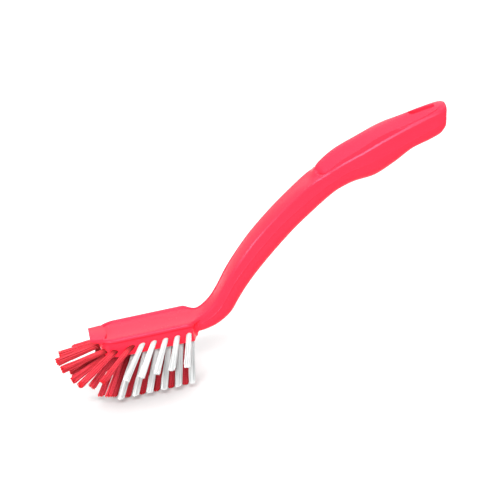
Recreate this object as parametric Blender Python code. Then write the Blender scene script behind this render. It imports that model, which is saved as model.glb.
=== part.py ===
"""Dish brush with a scraping edge: one moulded handle and head, and its stapled bristle tufts.

The brush is modelled head down, as it scrubs: +X runs from the nose to the end of the handle, +Y to
the right of whoever holds it, +Z up. Inside the script x is measured from the scraping edge and z
from the underside of the head. A parent empty then carries the middle of the brush's footprint,
at the height of the lowest bristle tips, to the origin.
"""

import collections
import math

import bmesh
import bpy
from mathutils import Matrix, Vector

MM = 0.001

# Head block, seen from above: a half round nose, straight sides, and a waist that narrows to the
# tail, where the neck starts. The lower levels end short of the rim's tail.
HEAD_LENGTH = 66.0 * MM
HEAD_HALF_WIDTH = 13.0 * MM
HEAD_HEIGHT = 13.4 * MM
TAIL_HALF_WIDTH = 7.4 * MM
RIM_WAIST = 9.0 * MM
CREASE_TAIL_INSET = 2.0 * MM
CREASE_WAIST = 5.0 * MM
UNDERSIDE_TAIL_INSET = 3.6 * MM
UNDERSIDE_WAIST = 3.2 * MM

# Section of the head: the side wall leans in from the crease down to the underside.
UNDERSIDE_HALF_WIDTH = 10.0 * MM
UNDERSIDE_CHAMFER = 0.6 * MM
CREASE_HEIGHT = 10.6 * MM
CREASE_HALF_WIDTH = 12.3 * MM
BEAD_HEIGHT = 0.6 * MM
BEAD_WIDTH = 1.0 * MM
DISH_DEPTH = 1.0 * MM
DISH_SLOPE = 0.8 * MM
DISH_SAG = 0.7 * MM
RIM_TAIL_STEP = 0.12 * MM

# Scraping edge: a thin tab that grows out of the nose, with a round back where the dish starts.
SCRAPER_REACH = 2.3 * MM
SCRAPER_FRONT_HALF_WIDTH = 7.8 * MM
SCRAPER_ROOT_HALF_WIDTH = 9.2 * MM
SCRAPER_ROOT_X = 6.4 * MM
SCRAPER_BACK_BULGE = 3.2 * MM
SCRAPER_TIP_THICKNESS = 1.4 * MM
SCRAPER_ROOT_THICKNESS = 3.0 * MM
SCRAPER_RISE = 0.4 * MM

# Handle, station by station: how far the top line lies behind the head's tail and above its rim,
# half the width, then going down the section the fall of the crowned top to the ridge, the side
# down to the widest line, and the belly under it.
HANDLE_STATIONS = (
    (-12.0 * MM, -2.4 * MM, 6.4 * MM, 0.3 * MM, 3.2 * MM, 5.4 * MM),
    (-6.0 * MM, -1.4 * MM, 6.8 * MM, 0.3 * MM, 3.4 * MM, 6.2 * MM),
    (-1.0 * MM, 0.0 * MM, 7.2 * MM, 0.4 * MM, 3.8 * MM, 6.8 * MM),
    (3.8 * MM, 2.4 * MM, 7.5 * MM, 0.4 * MM, 4.0 * MM, 7.8 * MM),
    (8.8 * MM, 6.7 * MM, 7.6 * MM, 0.4 * MM, 4.2 * MM, 8.6 * MM),
    (13.8 * MM, 13.0 * MM, 7.8 * MM, 0.4 * MM, 4.0 * MM, 8.6 * MM),
    (19.5 * MM, 21.1 * MM, 8.2 * MM, 0.4 * MM, 4.0 * MM, 9.3 * MM),
    (27.5 * MM, 30.9 * MM, 8.5 * MM, 0.5 * MM, 4.8 * MM, 9.3 * MM),
    (38.7 * MM, 42.6 * MM, 8.8 * MM, 0.6 * MM, 5.4 * MM, 9.5 * MM),
    (52.7 * MM, 54.7 * MM, 9.1 * MM, 0.8 * MM, 5.4 * MM, 9.5 * MM),
    (67.5 * MM, 65.5 * MM, 9.4 * MM, 0.8 * MM, 6.2 * MM, 8.7 * MM),
    (76.5 * MM, 71.4 * MM, 9.7 * MM, 0.9 * MM, 6.6 * MM, 8.2 * MM),
    (81.5 * MM, 77.6 * MM, 9.9 * MM, 4.6 * MM, 6.0 * MM, 8.4 * MM),
    (91.5 * MM, 84.5 * MM, 10.6 * MM, 6.6 * MM, 6.0 * MM, 9.4 * MM),
    (105.0 * MM, 89.5 * MM, 11.4 * MM, 6.6 * MM, 7.2 * MM, 10.8 * MM),
    (119.0 * MM, 93.9 * MM, 11.4 * MM, 5.8 * MM, 8.2 * MM, 9.0 * MM),
    (132.0 * MM, 96.9 * MM, 10.6 * MM, 4.8 * MM, 8.2 * MM, 6.5 * MM),
    (144.0 * MM, 99.0 * MM, 9.4 * MM, 3.8 * MM, 8.0 * MM, 7.0 * MM),
    (153.0 * MM, 100.0 * MM, 8.6 * MM, 2.8 * MM, 7.4 * MM, 6.8 * MM),
    (157.6 * MM, 100.2 * MM, 7.6 * MM, 2.2 * MM, 6.6 * MM, 5.6 * MM),
    (159.6 * MM, 99.4 * MM, 6.2 * MM, 1.6 * MM, 5.2 * MM, 4.0 * MM),
)
HANDLE_STEPS_BETWEEN = 3
HANDLE_TURN_STEPS = 4
HANDLE_RIDGE_SHARE = 0.9
CROWN_SHOULDER_ACROSS, CROWN_SHOULDER_FALL = 0.55, 0.3
HANDLE_BELLY_POINTS = 6
HANDLE_BELLY_SQUARENESS = 3.0

# Hanging slot, through the grip from top to bottom near its end.
SLOT_LENGTH = 15.0 * MM
SLOT_WIDTH = 5.0 * MM
SLOT_END_WALL = 6.6 * MM
SLOT_OVERRUN = 10.0 * MM
SLOT_END_STEPS = 4
SLOT_END_FLAT = 0.02 * MM

# Tufts: what fills each hole, and how far the filaments spread on their way to the cut ends.
TUFT_RADIUS = 1.6 * MM
TUFT_TIP_RADIUS = 2.2 * MM
HOLE_CLEARANCE = 0.3 * MM
ROW_HOLE_DEPTH = 6.0 * MM
OUTER_HOLE_DEPTH = 4.8 * MM
NOSE_HOLE_DEPTH = 3.2 * MM
HOLE_MOUTH_CUT = 4.5 * MM
STRANDS_IN_TUFT = 10
STRAND_GAP = 0.24 * MM

# Rows of tufts: how many, how far the rear one stands ahead of the underside's tail, and how far
# the front one stands behind the middle of the nose.
OUTER_ROW_TUFTS, OUTER_ROW_WHITE = 6, 5
OUTER_ROW_INSETS = (6.0 * MM, 5.6 * MM)
INNER_ROW_TUFTS, INNER_ROW_WHITE = 7, 6
INNER_ROW_INSETS = (4.0 * MM, 2.3 * MM)
CENTRE_ROW_TUFTS = 7
CENTRE_ROW_INSETS = (6.8 * MM, 0.1 * MM)
INNER_ROW_Y = 4.8 * MM
OUTER_HOLE_HEIGHT = 4.7 * MM
OUTER_TIP_DROP = 10.3 * MM
INNER_TIP_DROP = 27.5 * MM
CENTRE_TIP_DROP = 32.8 * MM
OUTER_SPLAY = math.radians(35.5)
INNER_SPLAY = math.radians(10.0)

# The red tufts at the front of the rows are cut shorter, and the outer ones lean further.
OUTER_FRONT_TRIM, OUTER_FRONT_LEAN = 1.5 * MM, 0.45
INNER_FRONT_TRIM = 3.0 * MM
CENTRE_FRONT_TUFTS, CENTRE_FRONT_TRIM = 2, 2.2 * MM

# How far a tuft's tip lies ahead of its root for each millimetre that it drops: at the rear of
# the row, and what each tuft further forward gains.
OUTER_LEAN_REAR, OUTER_LEAN_GAIN = 0.34, 0.135
INNER_LEAN_REAR, INNER_LEAN_GAIN = 0.175, 0.068
CENTRE_LEAN_REAR, CENTRE_LEAN_GAIN = 0.18, 0.0665

# The fan round the nose: the root's angle from straight ahead and its height on the wall, then
# where the tip lies ahead of the scraping edge, aside of the middle and below the underside.
NOSE_FAN = (
    (math.radians(0.0), 5.4 * MM, 22.9 * MM, 0.0 * MM, 0.2 * MM),
    (math.radians(36.0), 4.2 * MM, 20.7 * MM, 9.5 * MM, 0.8 * MM),
    (math.radians(70.0), 4.2 * MM, 12.2 * MM, 24.0 * MM, 5.7 * MM),
)

# The pairs behind the fan, on the underside: how far the root lies ahead of the middle of the nose
# and aside of it, then the tip's place as above.
FRONT_PAIRS = (
    (6.3 * MM, 2.4 * MM, 16.2 * MM, 5.0 * MM, 11.8 * MM),
    (3.7 * MM, 6.5 * MM, 5.7 * MM, 11.0 * MM, 15.6 * MM),
)

RED_PLASTIC = (0.93, 0.035, 0.075, 1.0)
RED_FILAMENT = (0.72, 0.012, 0.03, 1.0)
WHITE_FILAMENT = (0.86, 0.87, 0.86, 1.0)
PLASTIC_ROUGHNESS = 0.32
FILAMENT_ROUGHNESS = 0.5

NOSE_CENTRE_X = SCRAPER_REACH + HEAD_HALF_WIDTH

Tuft = collections.namedtuple("Tuft", "name colour root tip hole_depth level_cut")


def clear_scene():
    for obj in list(bpy.data.objects):
        bpy.data.objects.remove(obj, do_unlink=True)


def new_collection(name):
    collection = bpy.data.collections.new(name)
    bpy.context.scene.collection.children.link(collection)
    return collection


def material(name, colour, roughness):
    made = bpy.data.materials.new(name)
    made.use_nodes = True
    shader = made.node_tree.nodes["Principled BSDF"]
    shader.inputs["Base Color"].default_value = colour
    shader.inputs["Roughness"].default_value = roughness
    shader.inputs["Metallic"].default_value = 0.0
    return made


def new_object(name, bm, collection, surface=None):
    bmesh.ops.recalc_face_normals(bm, faces=bm.faces)
    mesh = bpy.data.meshes.new(name)
    bm.to_mesh(mesh)
    bm.free()
    obj = bpy.data.objects.new(name, mesh)
    collection.objects.link(obj)
    if surface:
        mesh.materials.append(surface)
    return obj


def as_helper(obj):
    obj.hide_render = True
    obj.display_type = "WIRE"
    return obj


def loft(bm, rings):
    """Skin a stack of closed rings with as many points each, and close both ends."""
    loops = [[bm.verts.new(point) for point in ring] for ring in rings]
    for lower, upper in zip(loops, loops[1:]):
        for i in range(len(lower)):
            j = (i + 1) % len(lower)
            bm.faces.new((lower[i], lower[j], upper[j], upper[i]))
    bm.faces.new(loops[0])
    bm.faces.new(loops[-1])


def blend(start, end, share):
    """From start to end along an S, so that both ends leave smoothly."""
    return start + (end - start) * (1 - math.cos(math.pi * min(max(share, 0), 1))) / 2


def head_ring(half_width, z, tail_x, waist, tail_z):
    """The head's outline at one level, whose tail ends at a place and a height of its own."""
    nose_steps = 12
    waist_steps = 5
    right = []
    for i in range(nose_steps // 2 + 1):
        angle = math.pi / 2 * i / (nose_steps // 2)
        x = NOSE_CENTRE_X - half_width * math.cos(angle)
        right.append((x, half_width * math.sin(angle), z))
    for i in range(waist_steps + 1):
        share = i / waist_steps
        x = tail_x - waist * (1 - share)
        narrowing = blend(1.0, TAIL_HALF_WIDTH / HEAD_HALF_WIDTH, share)
        right.append((x, half_width * narrowing, blend(z, tail_z, share)))
    left = [(x, -y, height) for x, y, height in reversed(right[1:])]
    return right + left


def make_head_block(collection):
    """The tufted block: leaning side wall, crease, rim bead and the dish in its top."""
    bead_foot = CREASE_HEIGHT + BEAD_HEIGHT
    bead_top = HEAD_HEIGHT - BEAD_HEIGHT
    inner = HEAD_HALF_WIDTH - 2 * BEAD_WIDTH
    dish_edge = inner - DISH_SLOPE
    underside_tail = HEAD_LENGTH - UNDERSIDE_TAIL_INSET
    wall_share = UNDERSIDE_CHAMFER / CREASE_HEIGHT
    above_chamfer = UNDERSIDE_HALF_WIDTH + (CREASE_HALF_WIDTH - UNDERSIDE_HALF_WIDTH) * wall_share
    side = (
        (UNDERSIDE_HALF_WIDTH - UNDERSIDE_CHAMFER, 0.0, underside_tail - UNDERSIDE_CHAMFER, UNDERSIDE_WAIST),
        (above_chamfer, UNDERSIDE_CHAMFER, underside_tail, UNDERSIDE_WAIST),
        (CREASE_HALF_WIDTH, CREASE_HEIGHT, HEAD_LENGTH - CREASE_TAIL_INSET, CREASE_WAIST),
    )
    rim = (
        (HEAD_HALF_WIDTH, bead_foot),
        (HEAD_HALF_WIDTH, bead_top),
        (HEAD_HALF_WIDTH - BEAD_WIDTH / 2, HEAD_HEIGHT),
        (inner, HEAD_HEIGHT),
        (dish_edge, HEAD_HEIGHT - DISH_DEPTH),
        (dish_edge / 2, HEAD_HEIGHT - DISH_DEPTH - DISH_SAG),
    )
    rings = [head_ring(half_width, z, tail_x, waist, z) for half_width, z, tail_x, waist in side]
    for step, (half_width, z) in enumerate(rim, start=1):
        tail_z = CREASE_HEIGHT + RIM_TAIL_STEP * step
        rings.append(head_ring(half_width, z, HEAD_LENGTH, RIM_WAIST, tail_z))
    bm = bmesh.new()
    loft(bm, rings)
    return as_helper(new_object("head_block", bm, collection))


def make_scraper(collection):
    """The scraping tab: flat on top, thin at its front edge, round at the back."""
    back_steps = 6
    outline = [
        (0.0, SCRAPER_FRONT_HALF_WIDTH, SCRAPER_RISE, SCRAPER_TIP_THICKNESS),
        (SCRAPER_ROOT_X, SCRAPER_ROOT_HALF_WIDTH, 0.0, SCRAPER_ROOT_THICKNESS),
    ]
    for i in range(1, back_steps):
        angle = math.pi * i / back_steps
        x = SCRAPER_ROOT_X + SCRAPER_BACK_BULGE * math.sin(angle)
        y = SCRAPER_ROOT_HALF_WIDTH * math.cos(angle)
        outline.append((x, y, 0.0, SCRAPER_ROOT_THICKNESS))
    outline += [(x, -y, rise, thickness) for x, y, rise, thickness in reversed(outline[:2])]
    top = [(x, y, HEAD_HEIGHT + rise) for x, y, rise, thickness in outline]
    underside = [(x, y, HEAD_HEIGHT + rise - thickness) for x, y, rise, thickness in outline]
    bm = bmesh.new()
    loft(bm, [underside, top])
    return as_helper(new_object("scraping_edge", bm, collection))


def catmull(before, start, end, after, share):
    """A smooth curve through start and end, for a tuple of values at once."""
    values = []
    for p0, p1, p2, p3 in zip(before, start, end, after):
        slope = (p2 - p0) * share
        bend = (2 * p0 - 5 * p1 + 4 * p2 - p3) * share**2
        twist = (3 * p1 - p0 - 3 * p2 + p3) * share**3
        values.append(p1 + 0.5 * (slope + bend + twist))
    return tuple(values)


def handle_path():
    """The stations and the steps between them, each with the direction of the top line."""
    stations = [(HEAD_LENGTH + x, HEAD_HEIGHT + z, *section) for x, z, *section in HANDLE_STATIONS]
    last = len(stations) - 1
    points = []
    for i in range(last):
        before = stations[max(i - 1, 0)]
        after = stations[min(i + 2, last)]
        for step in range(HANDLE_STEPS_BETWEEN):
            share = step / HANDLE_STEPS_BETWEEN
            points.append(catmull(before, stations[i], stations[i + 1], after, share))
    points.append(stations[last])
    path = []
    for i, point in enumerate(points):
        behind = points[max(i - HANDLE_TURN_STEPS, 0)]
        ahead = points[min(i + HANDLE_TURN_STEPS, len(points) - 1)]
        path.append((point, math.atan2(ahead[1] - behind[1], ahead[0] - behind[0])))
    return path


def handle_ring(station, slope):
    """One section of the handle, square to its top line: crowned top, ridge, side, round belly."""
    x, z, half_width, crown, side, belly = station
    ridge = half_width * HANDLE_RIDGE_SHARE
    half = [
        (0.0, 0.0),
        (ridge * CROWN_SHOULDER_ACROSS, -crown * CROWN_SHOULDER_FALL),
        (ridge, -crown),
        (half_width, -crown - side),
    ]
    power = 2 / HANDLE_BELLY_SQUARENESS
    for i in range(1, HANDLE_BELLY_POINTS):
        angle = math.pi / 2 * i / HANDLE_BELLY_POINTS
        drop = crown + side + belly * math.sin(angle) ** power
        half.append((half_width * math.cos(angle) ** power, -drop))
    half.append((0.0, -crown - side - belly))
    section = half + [(-y, drop) for y, drop in reversed(half[1:-1])]
    across = Vector((-math.sin(slope), 0.0, math.cos(slope)))
    return [Vector((x, y, z)) + across * drop for y, drop in section]


def make_handle(collection, surface, helpers, holes):
    """The whole moulding: shaft and grip, joined to the block and scraper, then drilled and slotted."""
    bm = bmesh.new()
    loft(bm, [handle_ring(station, slope) for station, slope in handle_path()])
    handle = new_object("handle_and_head", bm, collection, surface)
    for helper, operation in (
        (make_head_block(helpers), "UNION"),
        (make_scraper(helpers), "UNION"),
        (make_slot(helpers), "DIFFERENCE"),
        (holes, "DIFFERENCE"),
    ):
        joint = handle.modifiers.new(helper.name, "BOOLEAN")
        joint.object = helper
        joint.operation = operation
    return handle


def make_slot(collection):
    """The cutter for the hanging slot: a bar with half round ends, straight down through the grip."""
    path = [station for station, slope in handle_path()]
    middle_x = path[-1][0] - SLOT_END_WALL - SLOT_LENGTH / 2
    x, top_z, half_width, *drops = min(path, key=lambda station: abs(station[0] - middle_x))
    height = 2 * (sum(drops) + SLOT_OVERRUN)
    bm = bmesh.new()
    bmesh.ops.create_cube(bm, matrix=Matrix.Diagonal((SLOT_LENGTH, SLOT_WIDTH, height, 1.0)))
    upright = [edge for edge in bm.edges if edge.verts[0].co.z * edge.verts[1].co.z < 0]
    bmesh.ops.bevel(
        bm, geom=upright, offset=SLOT_WIDTH / 2 - SLOT_END_FLAT, segments=SLOT_END_STEPS,
        profile=0.5, affect="EDGES",
    )
    slot = as_helper(new_object("hanging_slot", bm, collection))
    slot.location = (middle_x, 0.0, top_z)
    return slot


def wall_y(z):
    """Half the width of the head at a height below its crease."""
    lean = (CREASE_HALF_WIDTH - UNDERSIDE_HALF_WIDTH) / CREASE_HEIGHT
    return UNDERSIDE_HALF_WIDTH + lean * z


def row_places(count, insets):
    """Where along the head each tuft of a row is rooted, from the rear one forwards."""
    rear_inset, front_inset = insets
    rear = HEAD_LENGTH - UNDERSIDE_TAIL_INSET - rear_inset
    front = NOSE_CENTRE_X + front_inset
    return [rear + (front - rear) * i / (count - 1) for i in range(count)]


def both_sides():
    return ("right", 1), ("left", -1)


def outer_tufts():
    """The rows in the side walls, splayed wide, with a red tuft in front of the white ones."""
    tufts = []
    for i, root_x in enumerate(row_places(OUTER_ROW_TUFTS, OUTER_ROW_INSETS)):
        drop = OUTER_HOLE_HEIGHT + OUTER_TIP_DROP
        lean = OUTER_LEAN_REAR + OUTER_LEAN_GAIN * i
        colour = "white"
        if i >= OUTER_ROW_WHITE:
            drop -= OUTER_FRONT_TRIM
            lean += OUTER_FRONT_LEAN
            colour = "red"
        for side, sign in both_sides():
            root = Vector((root_x, sign * wall_y(OUTER_HOLE_HEIGHT), OUTER_HOLE_HEIGHT))
            tip = root + Vector((-lean, sign * math.tan(OUTER_SPLAY), -1)) * drop
            name = f"tuft_outer_{side}_{i + 1}"
            tufts.append(Tuft(name, colour, root, tip, OUTER_HOLE_DEPTH, False))
    return tufts


def inner_tufts():
    """The two rows in the underside, either side of its middle."""
    tufts = []
    for i, root_x in enumerate(row_places(INNER_ROW_TUFTS, INNER_ROW_INSETS)):
        drop = INNER_TIP_DROP
        lean = INNER_LEAN_REAR + INNER_LEAN_GAIN * i
        colour = "white"
        if i >= INNER_ROW_WHITE:
            drop -= INNER_FRONT_TRIM
            colour = "red"
        for side, sign in both_sides():
            root = Vector((root_x, sign * INNER_ROW_Y, 0.0))
            tip = root + Vector((-lean, sign * math.tan(INNER_SPLAY), -1)) * drop
            name = f"tuft_inner_{side}_{i + 1}"
            tufts.append(Tuft(name, colour, root, tip, ROW_HOLE_DEPTH, True))
    return tufts


def centre_tufts():
    """The red row down the middle, which reaches lowest."""
    tufts = []
    for i, root_x in enumerate(row_places(CENTRE_ROW_TUFTS, CENTRE_ROW_INSETS)):
        trims = max(i + 1 - (CENTRE_ROW_TUFTS - CENTRE_FRONT_TUFTS), 0)
        drop = CENTRE_TIP_DROP - trims * CENTRE_FRONT_TRIM
        lean = CENTRE_LEAN_REAR + CENTRE_LEAN_GAIN * i
        root = Vector((root_x, 0.0, 0.0))
        tip = root + Vector((-lean, 0.0, -1)) * drop
        tufts.append(Tuft(f"tuft_centre_{i + 1}", "red", root, tip, ROW_HOLE_DEPTH, True))
    return tufts


def nose_tufts():
    """The fan round the nose, and the two pairs that fill the corner behind it."""
    tufts = []
    for number, (angle, height, reach, aside, drop) in enumerate(NOSE_FAN, start=1):
        ring = wall_y(height)
        x = NOSE_CENTRE_X - ring * math.cos(angle)
        y = ring * math.sin(angle)
        sides = (("middle", 1),) if angle == 0 else both_sides()
        for side, sign in sides:
            root = Vector((x, sign * y, height))
            tip = Vector((-reach, sign * aside, -drop))
            name = f"tuft_nose_{side}_{number}"
            tufts.append(Tuft(name, "red", root, tip, NOSE_HOLE_DEPTH, False))
    for number, (ahead, y, reach, aside, drop) in enumerate(FRONT_PAIRS, start=1):
        for side, sign in both_sides():
            root = Vector((NOSE_CENTRE_X - ahead, sign * y, 0.0))
            tip = Vector((-reach, sign * aside, -drop))
            name = f"tuft_front_{side}_{number}"
            tufts.append(Tuft(name, "red", root, tip, NOSE_HOLE_DEPTH, False))
    return tufts


def along(root, tip):
    """The turn that points +Z from a tuft's root to its tip."""
    return (tip - root).to_track_quat("Z", "Y").to_matrix()


def make_holes(tufts, collection):
    """One cutter that drills every tuft hole, each from outside the head to its own depth."""
    bm = bmesh.new()
    radius = TUFT_RADIUS + HOLE_CLEARANCE
    for tuft in tufts:
        turn = along(tuft.root, tuft.tip).to_4x4()
        middle = (HOLE_MOUTH_CUT - tuft.hole_depth) / 2
        bmesh.ops.create_cone(
            bm, cap_ends=True, segments=STRANDS_IN_TUFT, radius1=radius, radius2=radius,
            depth=HOLE_MOUTH_CUT + tuft.hole_depth,
            matrix=Matrix.Translation(tuft.root) @ turn @ Matrix.Translation((0, 0, middle)),
        )
    return as_helper(new_object("tuft_holes", bm, collection))


def make_tuft(tuft, surface, collection):
    """A plug that fills the hole, and strands that spread from its face to the cut ends."""
    length = (tuft.tip - tuft.root).length
    plug = tuft.hole_depth - HOLE_CLEARANCE
    turn = along(tuft.root, tuft.tip)
    bm = bmesh.new()
    bmesh.ops.create_cone(
        bm, cap_ends=True, cap_tris=True, segments=STRANDS_IN_TUFT, radius1=TUFT_RADIUS,
        radius2=TUFT_RADIUS, depth=plug, matrix=Matrix.Translation((0, 0, -plug / 2)),
    )
    face_up = [face for face in bm.faces if face.normal.z > 0.9]
    bmesh.ops.inset_individual(bm, faces=face_up, thickness=STRAND_GAP / 2, use_even_offset=True)
    strands = bmesh.ops.extrude_discrete_faces(bm, faces=face_up)["faces"]
    square = Vector((0, 0, 1))
    cut = turn.inverted() @ square if tuft.level_cut else square
    spread = (TUFT_TIP_RADIUS / TUFT_RADIUS - 1) / length
    for face in strands:
        for vert in face.verts:
            run = Vector((vert.co.x * spread, vert.co.y * spread, 1))
            reach = (cut.z * length - cut.dot(vert.co)) / cut.dot(run)
            vert.co += run * reach
    made = new_object(tuft.name, bm, collection, surface)
    made.location = tuft.root
    made.rotation_euler = turn.to_euler()
    return made


def stand_on_origin(objects, helpers):
    """Carry the brush and its cutters by an empty, so that its footprint's middle is at the origin."""
    bpy.context.view_layer.update()
    graph = bpy.context.evaluated_depsgraph_get()
    corners = []
    for obj in objects:
        shaped = obj.evaluated_get(graph)
        corners += [shaped.matrix_world @ vert.co for vert in shaped.data.vertices]
    low = [min(corner[axis] for corner in corners) for axis in range(3)]
    high = [max(corner[axis] for corner in corners) for axis in range(3)]
    carrier = bpy.data.objects.new("dish_brush", None)
    bpy.context.scene.collection.objects.link(carrier)
    for obj in objects + list(helpers.objects):
        obj.parent = carrier
    carrier.location = (-(low[0] + high[0]) / 2, -(low[1] + high[1]) / 2, -low[2])


def main():
    clear_scene()
    parts = new_collection("dish_brush")
    helpers = new_collection("cutters")
    plastic = material("red_plastic", RED_PLASTIC, PLASTIC_ROUGHNESS)
    filaments = {
        "red": material("red_filament", RED_FILAMENT, FILAMENT_ROUGHNESS),
        "white": material("white_filament", WHITE_FILAMENT, FILAMENT_ROUGHNESS),
    }
    tufts = outer_tufts() + inner_tufts() + centre_tufts() + nose_tufts()
    objects = [make_handle(parts, plastic, helpers, make_holes(tufts, helpers))]
    for tuft in tufts:
        objects.append(make_tuft(tuft, filaments[tuft.colour], parts))
    stand_on_origin(objects, helpers)


main()
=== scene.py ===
"""Dish brush with a scraping edge: one red moulding, its bristle tufts and their wire anchors."""

import math

import bpy
import numpy as np
from mathutils import Matrix, Vector


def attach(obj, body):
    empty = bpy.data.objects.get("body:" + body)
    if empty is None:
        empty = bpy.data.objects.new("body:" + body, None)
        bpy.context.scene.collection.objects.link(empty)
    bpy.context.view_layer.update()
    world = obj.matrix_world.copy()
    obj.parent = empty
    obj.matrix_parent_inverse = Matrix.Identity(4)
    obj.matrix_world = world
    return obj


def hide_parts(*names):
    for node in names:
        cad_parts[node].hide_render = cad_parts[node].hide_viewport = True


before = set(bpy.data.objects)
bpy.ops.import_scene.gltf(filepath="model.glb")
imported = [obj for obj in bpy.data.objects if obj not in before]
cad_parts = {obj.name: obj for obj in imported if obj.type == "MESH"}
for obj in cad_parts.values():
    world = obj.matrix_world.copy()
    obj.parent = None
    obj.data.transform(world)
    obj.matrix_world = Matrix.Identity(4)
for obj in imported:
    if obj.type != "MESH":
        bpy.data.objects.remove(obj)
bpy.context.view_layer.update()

# Camera and studio. The photograph looks down on the brush from the scraping edge's left, rolled a
# little so that the handle climbs to the upper right. A plain pale floor and broad soft lights keep
# the ground clear and leave one long soft highlight on each moulded edge.
MM = 0.001
CAMERA_AT = Vector((-0.08815, -0.883, 0.5166))
CAMERA_YAW, CAMERA_PITCH, CAMERA_ROLL = 0.0996561, -0.4581908, -0.1632622
CAMERA_LENS, CAMERA_SENSOR = 122.13, 36
CAMERA_NEAR, CAMERA_FAR = 0.05, 20
AIR_COLOUR, AIR_STRENGTH = (1.0, 1.0, 1.0, 1.0), 0.74
# Each light's place, the point it faces, and its width and height, all in metres, then its watts.
SOFTBOXES = {
    "softbox_overhead": ((0.0, 0.36, 1.3), (0.0, 0.08, 0.0), (2.6, 2.0), 38.0),
    "softbox_behind": ((0.1, 1.4, 0.8), (0.0, 0.0, 0.06), (1.6, 0.7), 3.4),
    "softbox_above_camera": ((-0.12, -1.0, 1.05), (0.02, 0.0, 0.08), (0.9, 0.17), 25.0),
    "softbox_front_left": ((-1.0, -0.9, 0.55), (0.0, 0.0, 0.08), (0.32, 0.32), 14.0),
}
FLOOR_SIZE, FLOOR_MOTTLE, FLOOR_ROUGHNESS = 9.0, 3.0, 0.9
FLOOR_DULL, FLOOR_PALE = (0.48, 0.48, 0.48, 1.0), (0.5, 0.5, 0.5, 1.0)


def deselect():
    """Leaves nothing selected, so that an operator acts on the next piece alone."""
    if bpy.context.object and bpy.context.object.mode != "OBJECT":
        bpy.ops.object.mode_set(mode="OBJECT")
    bpy.ops.object.select_all(action="DESELECT")


forward = Vector((
    math.cos(CAMERA_PITCH) * math.sin(CAMERA_YAW),
    math.cos(CAMERA_PITCH) * math.cos(CAMERA_YAW),
    math.sin(CAMERA_PITCH),
))
level = forward.cross(Vector((0, 0, 1))).normalized()
upward = level.cross(forward)
camera_right = level * math.cos(CAMERA_ROLL) + upward * math.sin(CAMERA_ROLL)
camera_up = upward * math.cos(CAMERA_ROLL) - level * math.sin(CAMERA_ROLL)
camera_turn = Matrix((camera_right, camera_up, -forward)).transposed().to_4x4()
deselect()
bpy.ops.object.camera_add()
camera = bpy.context.object
camera.name = "photo_camera"
camera.matrix_world = Matrix.Translation(CAMERA_AT) @ camera_turn
camera.data.lens = CAMERA_LENS
camera.data.sensor_width = CAMERA_SENSOR
camera.data.clip_start, camera.data.clip_end = CAMERA_NEAR, CAMERA_FAR
bpy.context.scene.camera = camera

bpy.context.scene.view_settings.view_transform = "Standard"
world = bpy.data.worlds.new("studio_air")
bpy.context.scene.world = world
world.use_nodes = True
world.node_tree.nodes["Background"].inputs["Color"].default_value = AIR_COLOUR
world.node_tree.nodes["Background"].inputs["Strength"].default_value = AIR_STRENGTH

for name, (place, aim, size, power) in SOFTBOXES.items():
    deselect()
    bpy.ops.object.light_add(type="AREA", location=place)
    lamp = bpy.context.object
    lamp.name = name
    lamp.rotation_euler = (Vector(aim) - Vector(place)).to_track_quat("-Z", "Y").to_euler()
    lamp.data.shape = "RECTANGLE"
    lamp.data.size, lamp.data.size_y = size
    lamp.data.energy = power

deselect()
bpy.ops.mesh.primitive_plane_add(size=FLOOR_SIZE)
floor = bpy.context.object
floor.name = "studio_floor"


class Wire:
    """A node's output, which Python's + and * join to others and to numbers with Math nodes."""

    def __init__(self, finish, output):
        self.finish = finish
        self.output = output

    def maths(self, operation, other):
        return self.finish.node("ShaderNodeMath", {"operation": operation}, {0: self, 1: other})

    def __add__(self, other):
        return self.maths("ADD", other)

    def __mul__(self, other):
        return self.maths("MULTIPLY", other)

    __radd__ = __add__
    __rmul__ = __mul__


class Finish:
    """A material in the making: node() adds any node, and dress() fills the Principled shader."""

    def __init__(self, name):
        self.material = bpy.data.materials.new(name)
        self.material.use_nodes = True
        self.tree = self.material.node_tree
        self.shader = self.tree.nodes["Principled BSDF"]

    def plug(self, socket, value):
        if isinstance(value, Wire):
            self.tree.links.new(value.output, socket)
        else:
            socket.default_value = value

    def node(self, kind, settings=None, sockets=None, output=0):
        made = self.tree.nodes.new(kind)
        for name, value in (settings or {}).items():
            setattr(made, name, value)
        for name, value in (sockets or {}).items():
            self.plug(made.inputs[name], value)
        return Wire(self, made.outputs[output])

    def mix(self, share, first, second):
        sockets = {0: share, 6: first, 7: second}
        return self.node("ShaderNodeMix", {"data_type": "RGBA"}, sockets, output=2)

    def smooth(self, value, low, high):
        settings = {"interpolation_type": "SMOOTHSTEP", "clamp": True}
        sockets = {"Value": value, "From Min": low, "From Max": high}
        return self.node("ShaderNodeMapRange", settings, sockets)

    def stretch(self, place, scale):
        return self.node("ShaderNodeMapping", None, {"Vector": place, "Scale": scale})

    def noise(self, place, scale, detail=2.0, roughness=0.5):
        sockets = {"Vector": place, "Scale": scale, "Detail": detail, "Roughness": roughness}
        return self.node("ShaderNodeTexNoise", None, sockets)

    def bump(self, strength, distance, height):
        sockets = {"Strength": strength, "Distance": distance, "Height": height}
        return self.node("ShaderNodeBump", None, sockets)

    def dress(self, **sockets):
        for name, value in sockets.items():
            self.plug(self.shader.inputs[name.replace("_", " ")], value)
        return self.material


paint = Finish("studio_white")
where = paint.node("ShaderNodeTexCoord", output="Object")
floor.data.materials.append(paint.dress(
    Base_Color=paint.mix(paint.noise(where, FLOOR_MOTTLE), FLOOR_DULL, FLOOR_PALE),
    Roughness=FLOOR_ROUGHNESS,
))

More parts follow.
